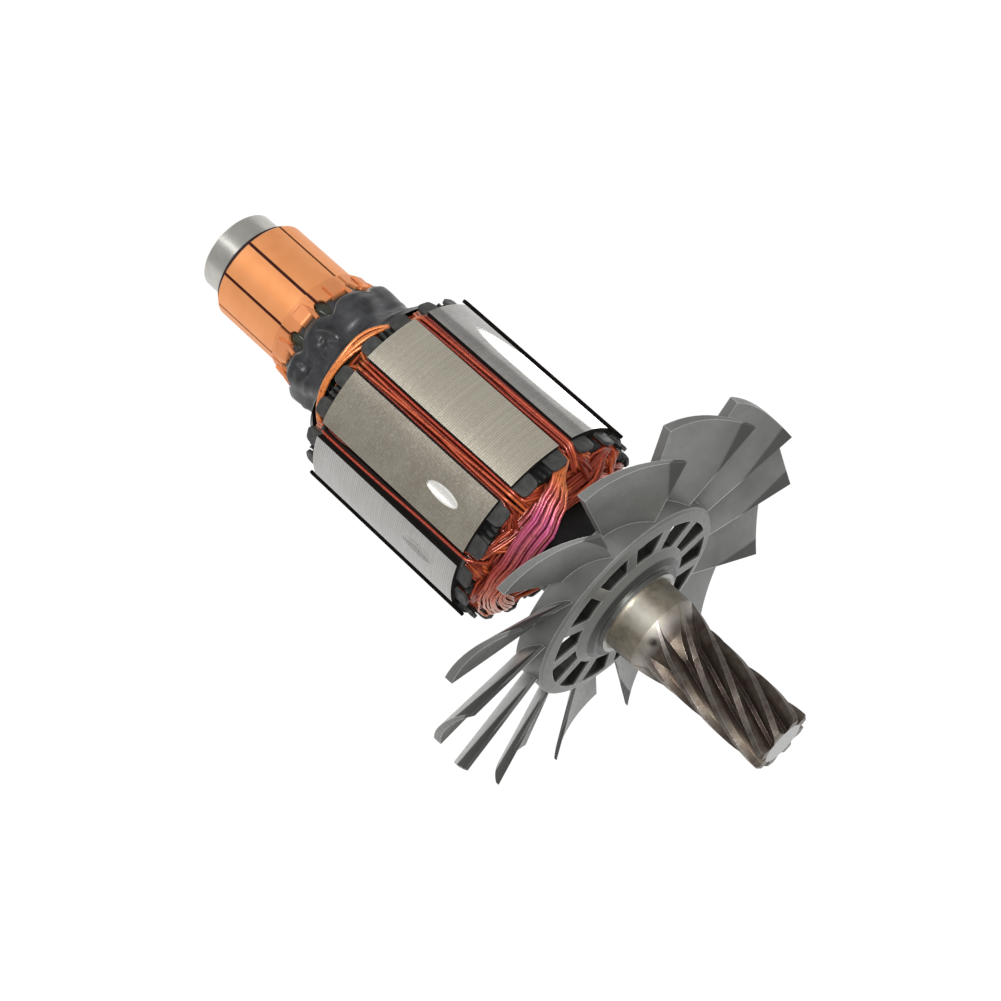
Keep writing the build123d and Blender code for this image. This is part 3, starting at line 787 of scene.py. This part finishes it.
def slotPoint(slot, side, coil, strand, share):
    # share runs from the core's rear end to its front end
    column = strand % winding["slotColumns"]
    row = strandCount(coil) // winding["slotColumns"] - 1 - strand // winding["slotColumns"]
    x = blend(coreRear - 1.5, 1.5, share)
    sway = noise.noise_vector(Vector((coil * 3.7 + strand * 2.9, x * 0.09, side * 5.1))) * winding["slotWander"]
    radius = winding["topRow"] - row * winding["rowStep"] + sway.x
    offset = side * (column + 0.5) * winding["columnStep"] + sway.y
    return polar(x, radius, slotAngle(slot) + degrees(offset / radius))


def coilLoop(coil, strand):
    heads = [(i + 0.5) / winding["headPoints"] for i in range(winding["headPoints"])]
    steps = [(i + 0.5) / winding["slotPoints"] for i in range(winding["slotPoints"])]
    far = coil + winding["span"]
    loop = [slotPoint(coil, 1, coil, strand, share) for share in steps]
    loop += [headPoint("front", coil, strand, share) for share in heads]
    loop += [slotPoint(far, -1, coil, strand, share) for share in reversed(steps)]
    loop += [headPoint("rear", coil, strand, share) for share in reversed(heads)]
    return loop


def strandBundle(name, loops, radius, closed, tones, finish):
    curve = bpy.data.curves.new(name, "CURVE")
    curve.dimensions = "3D"
    curve.bevel_depth = radius * mm
    curve.bevel_resolution = 2
    for loop in loops:
        spline = curve.splines.new("POLY")
        spline.points.add(len(loop) - 1)
        for point, place in zip(spline.points, loop):
            point.co = (*place, 1)
        spline.use_cyclic_u = closed
    bundle = bpy.data.objects.new(name, curve)
    bpy.context.scene.collection.objects.link(bundle)
    pickOnly(bundle)
    bpy.ops.object.convert(target="MESH")
    bundle = bpy.context.object
    mesh = bundle.data
    mesh.shade_smooth()
    sides = len(mesh.vertices) // sum(len(loop) for loop in loops)
    tone = mesh.attributes.new("strandTone", "FLOAT", "POINT")
    index = 0
    for loop, value in zip(loops, tones):
        for _ in range(len(loop) * sides):
            tone.data[index].value = value
            index += 1
    paint(bundle, finish)
    return bundle


def windCoils():
    draw = random.Random(11)
    for coil in range(armature["slots"]):
        loops = [coilLoop(coil, strand) for strand in range(strandCount(coil))]
        tones = [draw.uniform(0.05, 0.95) for strand in loops]
        replaced = [f"slot_winding_{coil + 1}"]
        radius, finish = winding["wireRadius"], "enamelledWire"
        if coil == winding["lastWound"]:
            replaced += ["front_winding_head", "rear_winding_head"]
            radius, finish = winding["lastRadius"], "lastWoundWire"
        bundle = strandBundle(f"coil_{coil + 1}", loops, radius, True, tones, finish)
        layOnShaft(bundle, "armature", "enamelled_copper", *replaced)


# Wires that pass round the rear of the core, outside the lacquer
rearWires = {
    # offsets along the shaft and outwards, from and to in degrees
    "ways": ((0.0, 0.0, 70, 150), (0.9, 0.5, 66, 148), (-0.9, 0.3, 72, 146), (1.7, -0.3, 68, 150)),
    "rise": (-42.8, -46.3),
    "radius": 20.3,
    "steps": 24,
    "wander": 0.25,
}


def addRearWires():
    draw = random.Random(5)
    loops, tones = [], []
    for farther, higher, start, end in rearWires["ways"]:
        loop = []
        for step in range(rearWires["steps"] + 1):
            share = step / rearWires["steps"]
            rise = 1 - abs(2 * share - 1) ** 3
            # spread where they come up, close together farther on
            near = 1 - 0.75 * smoothStep((share - 0.15) / 0.4)
            sway = noise.noise(Vector((farther * 9, higher * 7, share * 3))) * rearWires["wander"]
            x = blend(*rearWires["rise"], rise) + farther * near + sway
            radius = rearWires["radius"] + higher * near + 0.5 * rise + sway
            loop.append(polar(x, radius, blend(start, end, share)))
        loops.append(loop)
        tones.append(draw.uniform(0.6, 1.0))
    bundle = strandBundle("rear_arcs", loops, winding["wireRadius"], False, tones, "enamelledWire")
    layOnShaft(bundle, "armature", "enamelled_copper")


# Wires that lie loose on top in a slot
looseWires = {
    # slot, millimetres from its middle at the rear and at the front, radius and tone
    "ways": (
        (1, -1.25, -1.35, 22.95, 0.12), (1, -0.75, -0.55, 22.75, 0.35), (1, -0.1, -1.1, 23.0, 0.72),
        (1, 0.6, 0.2, 22.6, 0.3), (2, 0.9, -0.5, 22.75, 0.95), (2, -0.3, 0.7, 22.6, 0.8),
        (2, -1.1, -1.2, 22.5, 0.55), (3, 1.0, 0.2, 22.6, 0.45),
    ),
    "ends": (-43.6, 3.6),
    "wireRadius": 0.34,
    "steps": 32,
    # the wires droop in the last share of their way at each end
    "droop": 2.4,
    "droopShare": 0.14,
}


def addLooseWires():
    loops, tones = [], []
    for slot, rear, front, radius, tone in looseWires["ways"]:
        loop = []
        for step in range(looseWires["steps"] + 1):
            share = step / looseWires["steps"]
            sway = noise.noise_vector(Vector((share * 3.0, slot * 5.3, radius * 7.7 + rear)))
            offset = blend(rear, front, smoothStep(share)) + sway.x * 0.22
            nearEnd = abs(2 * share - 1) - 1 + looseWires["droopShare"]
            droop = looseWires["droop"] * max(0.0, nearEnd) / looseWires["droopShare"]
            height = radius - droop ** 1.5 + sway.y * 0.1
            x = blend(*looseWires["ends"], share)
            loop.append(polar(x, height, slotAngle(slot) + degrees(offset / radius)))
        loops.append(loop)
        tones.append(tone)
    bundle = strandBundle("loose_wires", loops, looseWires["wireRadius"], False, tones, "enamelledWire")
    layOnShaft(bundle, "armature", "enamelled_copper")


# Fills under both heads, painted dark as shade: points along the shaft and outwards
headFills = {
    "front_head_fill": ((1.6, 19.6), (2.2, 18.8), (2.8, 16.4), (3.3, 13.6), (3.5, 11.0), (3.4, 9.3)),
    "rear_head_fill": ((-42.4, 19.6), (-44.2, 19.0), (-45.4, 17.0), (-46.2, 14.0), (-46.4, 10.0), (-46.4, 7.2)),
}


def addHeadFill(name, outline):
    # a surface turned about the shaft, a little lumpy
    def places(u, v):
        x, radius = outline[round(v * (len(outline) - 1))]
        turn = radians(u * 360)
        lump = noise.noise(Vector((x * 0.5, radius * cos(turn) * 0.5, radius * sin(turn) * 0.5)))
        return polar(x, radius + lump * 0.5, u * 360)

    skin = bentSheet(places, 120, len(outline) - 1)
    skin.name = name
    faceOutwards(skin)
    skin.data.shade_smooth()
    paint(skin, "deepWire")
    layOnShaft(skin, "armature", "enamelled_copper")


windCoils()
addRearWires()
addLooseWires()
for name, outline in headFills.items():
    addHeadFill(name, outline)
print("coils wound")

# Cuffs of the slot liners: two flat tabs beside each slot, black folds between them, strips in the slot
cuff = {
    "proud": 3.3,
    "radius": 22.35,
    "tabFrom": 4.8,
    "tabTo": 15.4,
    "thickness": 0.75,
    "rounding": 0.14,
    "foldRadius": 21.0,
    "stripRadius": 22.3,
    # width in millimetres of the dark strip on the minus and the plus side of each slot
    "strips": (
        (0.5, 2.2), (0.4, 0.25), (0.25, 0.25), (0.25, 2.0), (0.4, 0.8), (1.2, 0.4), (0.5, 0.5), (0.3, 1.0),
        (0.6, 0.6)
    ),
    # black sheets on one side of these slots stand in for the shade in their openings: slot, from and to in
    # millimetres from its middle
    "shadeSheets": ((0, -1.75, -0.2), (4, 0.2, 1.75)),
    "shadeSheetRadius": 23.75,
}


def tabPlaces(face, away, angle, side, draw):
    skew, reach = draw.uniform(-0.5, 0.5), draw.uniform(-0.15, 0.15)
    dip = draw.uniform(-0.15, 0.1)

    def places(u, v):
        corner = max(0.0, abs(2 * u - 1) - 0.55) / 0.45 * max(0.0, v - 0.6) / 0.4
        out = blend(-0.4, cuff["proud"] + reach, v) - 0.45 * corner ** 1.5
        narrow = 1 - 0.1 * max(0.0, v - 0.7) / 0.3 * corner
        middle = (cuff["tabFrom"] + cuff["tabTo"]) / 2
        half = (cuff["tabTo"] - cuff["tabFrom"]) / 2 * narrow
        turn = angle + side * (middle + (2 * u - 1) * half) + skew * v
        return polar(face + away * out, cuff["radius"] + dip * v, turn)

    return places


def foldPlaces(face, away, angle, draw):
    phase, depth = draw.uniform(0, 6.28), draw.uniform(0.5, 0.8)
    seed = draw.uniform(0, 50)

    def places(u, v):
        turn = angle + blend(cuff["tabTo"] - 1.2, slotPitch - cuff["tabTo"] + 1.2, u)
        ragged = 0.5 * noise.noise(Vector((u * 4, seed, 0)))
        out = blend(-0.2, cuff["proud"] - 0.5 + ragged, v)
        wave = depth * sin(u * 19 + phase) * (0.4 + 0.6 * v)
        crumple = 0.3 * noise.noise(Vector((u * 9, v * 5, seed)))
        return polar(face + away * out, cuff["foldRadius"] + wave + crumple, turn)

    return places


def stripPlaces(angle, side, width, draw):
    seed = draw.uniform(0, 50)

    def places(u, v):
        x = blend(coreRear - 0.5, 0.5, v)
        uneven = 0.45 * width * noise.noise(Vector((x * 0.12, seed, 0))) if width > 0.6 else 0.0
        offset = armature["slotOpening"] / 2 + 0.3 - (width + uneven + 0.3) * u
        return polar(x, cuff["stripRadius"] - 0.25 * u, angle + side * degrees(offset / cuff["stripRadius"]))

    return places


def shadeSheetPlaces(angle, start, end):
    def places(u, v):
        offset = blend(start, end, u) / cuff["shadeSheetRadius"]
        return polar(blend(coreRear - 2.2, 2.4, v), cuff["shadeSheetRadius"], angle + degrees(offset))

    return places


def thicken(piece):
    pickOnly(piece)
    solid = piece.modifiers.new("solidify", "SOLIDIFY")
    solid.thickness, solid.offset = cuff["thickness"] * mm, 0.0
    bpy.ops.object.modifier_apply(modifier=solid.name)
    edge = piece.modifiers.new("bevel", "BEVEL")
    edge.width, edge.segments, edge.limit_method = cuff["rounding"] * mm, 2, "ANGLE"
    bpy.ops.object.modifier_apply(modifier=edge.name)
    faceOutwards(piece, weld=False)
    bpy.ops.object.shade_smooth_by_angle(angle=radians(40))


def addShadeSheets():
    # a black sheet in a slot's opening is painted shade
    for slot, start, end in cuff["shadeSheets"]:
        shadeSheet = bentSheet(shadeSheetPlaces(slotAngle(slot), start, end), 3, 12)
        shadeSheet.name = f"wedge_{slot + 1}"
        thicken(shadeSheet)
        paint(shadeSheet, "slotShade")
        layOnShaft(shadeSheet, "armature", "fibre")


def addCuffs():
    draw = random.Random(23)
    for slot in range(armature["slots"]):
        angle = slotAngle(slot)
        sheets = []
        for face, away in ((0, 1), (coreRear, -1)):
            for side in (-1, 1):
                sheets.append(bentSheet(tabPlaces(face, away, angle, side, draw), 10, 6))
            sheets.append(bentSheet(foldPlaces(face, away, angle, draw), 28, 5))
        for side, width in zip((-1, 1), cuff["strips"][slot]):
            sheets.append(bentSheet(stripPlaces(angle, side, width, draw), 3, 24))
        piece = joinAll(sheets, f"cuff_{slot + 1}")
        thicken(piece)
        paint(piece, "slotFibre")
        layOnShaft(piece, "armature", "fibre", f"slot_liner_{slot + 1}")


addCuffs()
addShadeSheets()
print("cuffs folded")

# Lacquered leads: a lumpy glossy skin with a scalloped rim, and a pool in front of each slit
lacquer = {
    "profile": (
        (-61.0, 13.9), (-60.0, 14.3), (-58.4, 14.9), (-56.0, 15.2), (-54.0, 15.0), (-52.4, 14.5), (-51.0, 14.7),
        (-49.4, 16.0), (-48.0, 17.9), (-46.6, 19.4), (-45.4, 19.9)
    ),
    # the lip reaches this far under the hooks, in the first share of the rows
    "lip": (-62.25, 11.8),
    "lipShare": 0.05,
    "rimBetween": -60.6,
    "rimRetreat": 2.1,
    "rimWidth": 8.0,
    "rimDrop": 1.7,
    "rimRow": 6,
    "rear": -45.4,
    # drawn back about this angle, where the wires pass round
    "rearByWires": -46.9,
    "wiresAngle": 122,
    "columns": 320,
    "rows": 64,
    # places of dents: along the shaft, degrees, depth and size
    "dents": (
        (-55.0, 107.8, 1.2, 1.5), (-55.6, 136.5, 1.4, 2.0), (-53.6, 122.0, 0.6, 1.6), (-56.2, 83.0, 0.4, 1.0),
        (-55.0, 190.0, 1.2, 1.8), (-54.0, 240.0, 1.0, 1.6), (-56.0, 290.0, 1.3, 1.8), (-54.5, 340.0, 1.1, 1.5)
    ),
    "poolPlace": (-61.4, 11.5, 0),
    "poolSize": (2.3, 0.75, 1.45),
    # a lead under each hook: along the shaft, radius and degrees back from the bar's middle
    "leadWay": (
        (-65.2, 12.25, 8.5), (-64.2, 12.55, 9.5), (-63.0, 12.9, 10.5), (-61.6, 13.2, 10.5), (-60.0, 13.5, 9.5)
    ),
    "leadRadius": 0.5,
}


def barAngle(bar):
    return armature["firstBar"] + bar * barPitch


def slitDistance(angle):
    # degrees from the nearest slit of the commutator
    part = (angle - barAngle(0.5)) % barPitch
    return min(part, barPitch - part)


def bell(share):
    return 2.718 ** -share


def lacquerPlace(u, v):
    angle = u * 360
    turn = radians(angle)
    retreat = lacquer["rimRetreat"] * bell((slitDistance(angle) / lacquer["rimWidth"]) ** 2)
    ragged = 0.5 * noise.noise(Vector((cos(turn) * 3, sin(turn) * 3, 4.0)))
    rim = lacquer["rimBetween"] + retreat + ragged
    if v < lacquer["lipShare"]:
        lip, lipRadius = lacquer["lip"]
        return polar(blend(lip, rim, v / lacquer["lipShare"]), lipRadius, angle)
    share = (v - lacquer["lipShare"]) / (1 - lacquer["lipShare"])
    byWires = smoothStep(1 - (abs(angle - lacquer["wiresAngle"]) - 22) / 12)
    x = blend(rim, blend(lacquer["rear"], lacquer["rearByWires"], byWires), share ** 1.25)
    fromRim = x - rim
    radius = alongPath(lacquer["profile"], x)[0]
    place = Vector((x * 0.30, cos(turn) * 3.2, sin(turn) * 3.2))
    fade = min(1.0, fromRim / 1.5) * min(1.0, (lacquer["rear"] - x) / 2.0)
    radius += 0.7 * noise.noise(place * 0.7) * fade + 0.04 * noise.noise(place * 2.2) * fade
    radius += 0.30 * cos(radians(angle - armature["firstBar"]) * armature["bars"]) * fade
    for along, middle, depth, size in lacquer["dents"]:
        across = radians((angle - middle + 180) % 360 - 180) * 15
        uneven = noise.noise(Vector((x * 0.5, angle * 0.12, middle))) * 1.2
        radius -= depth * bell(((x - along + uneven) ** 2 + (across - uneven) ** 2) / size ** 2)
    drop = lacquer["rimDrop"] * max(0.0, 1 - fromRim / 0.9) ** 2.2
    return polar(x, radius - drop, angle)


def addLacquer():
    columns, rows = lacquer["columns"], lacquer["rows"]
    skin = bentSheet(lacquerPlace, columns, rows)
    skin.name = "lacquer_skin"
    # a painted highlight along the rim, and a little at the rear
    rim = skin.data.attributes.new("rimHighlight", "FLOAT", "POINT")
    for index in range(len(skin.data.vertices)):
        row = index // (columns + 1)
        share = 0.4 if row >= rows else max(0.0, 1 - abs(row - lacquer["rimRow"]) / 3)
        rim.data[index].value = share * 0.8
    faceOutwards(skin)
    skin.data.shade_smooth()
    paint(skin, "glossLacquer")
    layOnShaft(skin, "armature", "lacquer", "lacquer_band")


def addPoolsAndLeads():
    flat = Matrix.Translation(Vector(lacquer["poolPlace"]) * mm)
    flat = flat @ Matrix.Diagonal((*(size * mm for size in lacquer["poolSize"]), 1))
    pools, leads = [], []
    for bar in range(armature["bars"]):
        bpy.ops.mesh.primitive_uv_sphere_add(segments=24, ring_count=12, radius=1)
        pool = bpy.context.object
        pool.data.transform(Matrix.Rotation(radians(barAngle(bar + 0.5)), 4, "X") @ flat)
        pool.data.shade_smooth()
        pools.append(pool)
        leads.append([polar(x, radius, barAngle(bar) - turn) for x, radius, turn in lacquer["leadWay"]])
    tones = [0.5] * len(leads)
    bundle = strandBundle("hook_leads", leads, lacquer["leadRadius"], False, tones, "commutatorCopper")
    layOnShaft(bundle, "armature", "enamelled_copper")
    piece = joinAll(pools, "lacquer_pools")
    paint(piece, "lacquerPool")
    layOnShaft(piece, "armature", "lacquer")


addLacquer()
addPoolsAndLeads()
print("leads lacquered")

# Lights and floor
light = {
    "world": 0.42,
    "floorSize": 1.6,
    "floorNear": 1.03,
    "floorFar": 0.30,
    # metres from the middle at which the floor starts and stops getting darker
    "floorFades": (0.17, 0.26),
    # softboxes, aimed above the floor: azimuth and elevation, distance, size and power
    "aim": 0.04,
    "boxes": (
        ("keyBox", -164, 50, 0.8, (0.12, 0.36), 0.75),
        ("crownBox", -50, 84, 0.95, (0.28, 0.28), 6.0),
        ("frontBox", 10, 30, 0.9, (0.5, 0.4), 1.0),
    ),
    # a lit oval of the floor, seen mirrored in the upper tooth
    "ovalPlace": (-0.0240, 0.0882, 0.0006),
    "ovalSize": (0.110, 0.040),
    "ovalTurn": -61.5,
    "ovalPower": 0.036,
}


def addAreaLight(name, shape, place, size, power):
    bpy.ops.object.light_add(type="AREA", location=place)
    lamp = bpy.context.object
    lamp.name = name
    lamp.data.shape = shape
    lamp.data.size, lamp.data.size_y = size
    lamp.data.energy = power
    return lamp


def addSoftbox(name, azimuth, elevation, distance, size, power):
    turn, rise = radians(azimuth), radians(elevation)
    place = Vector((cos(turn) * cos(rise), sin(turn) * cos(rise), sin(rise))) * distance
    box = addAreaLight(name, "RECTANGLE", place, size, power)
    box.rotation_euler = (Vector((0, 0, light["aim"])) - place).to_track_quat("-Z", "Y").to_euler()


def glowingFloor():
    # white about the armature, darker away from it
    glow = bpy.data.materials.new("glowingFloor")
    glow.use_nodes = True
    graph = Graph(glow.node_tree)
    away = graph.length(graph.add("TexCoord").outputs["Object"])
    near = graph.add("MapRange", Value=away, To_Min=light["floorNear"], To_Max=light["floorFar"])
    near.interpolation_type = "SMOOTHSTEP"
    start, end = light["floorFades"]
    tone = graph.plugAll(near, From_Min=start, From_Max=end).outputs["Result"]
    color = graph.add("CombineColor", Red=tone, Green=tone, Blue=tone).outputs["Color"]
    shader = graph.nodes["Principled BSDF"]
    graph.plugAll(shader, Base_Color=(0, 0, 0), Roughness=1.0, Specular_IOR_Level=0.0)
    graph.plugAll(shader, Emission_Color=color, Emission_Strength=1.0)
    return glow


def addStage():
    world = bpy.data.worlds.new("studio")
    bpy.context.scene.world = world
    world.use_nodes = True
    background = world.node_tree.nodes["Background"].inputs
    background["Color"].default_value = (1, 1, 1, 1)
    background["Strength"].default_value = light["world"]
    bpy.ops.mesh.primitive_plane_add(size=light["floorSize"], location=(0, 0, cadBox[0][2] - 0.0001))
    floor = bpy.context.object
    floor.name = "floor"
    floor.data.materials.append(glowingFloor())
    for box in light["boxes"]:
        addSoftbox(*box)
    oval = addAreaLight("floorOval", "ELLIPSE", light["ovalPlace"], light["ovalSize"], light["ovalPower"])
    oval.rotation_euler = (pi, 0, radians(light["ovalTurn"]))


addStage()
bpy.context.scene.view_settings.view_transform = "Standard"
print("lights and floor placed")
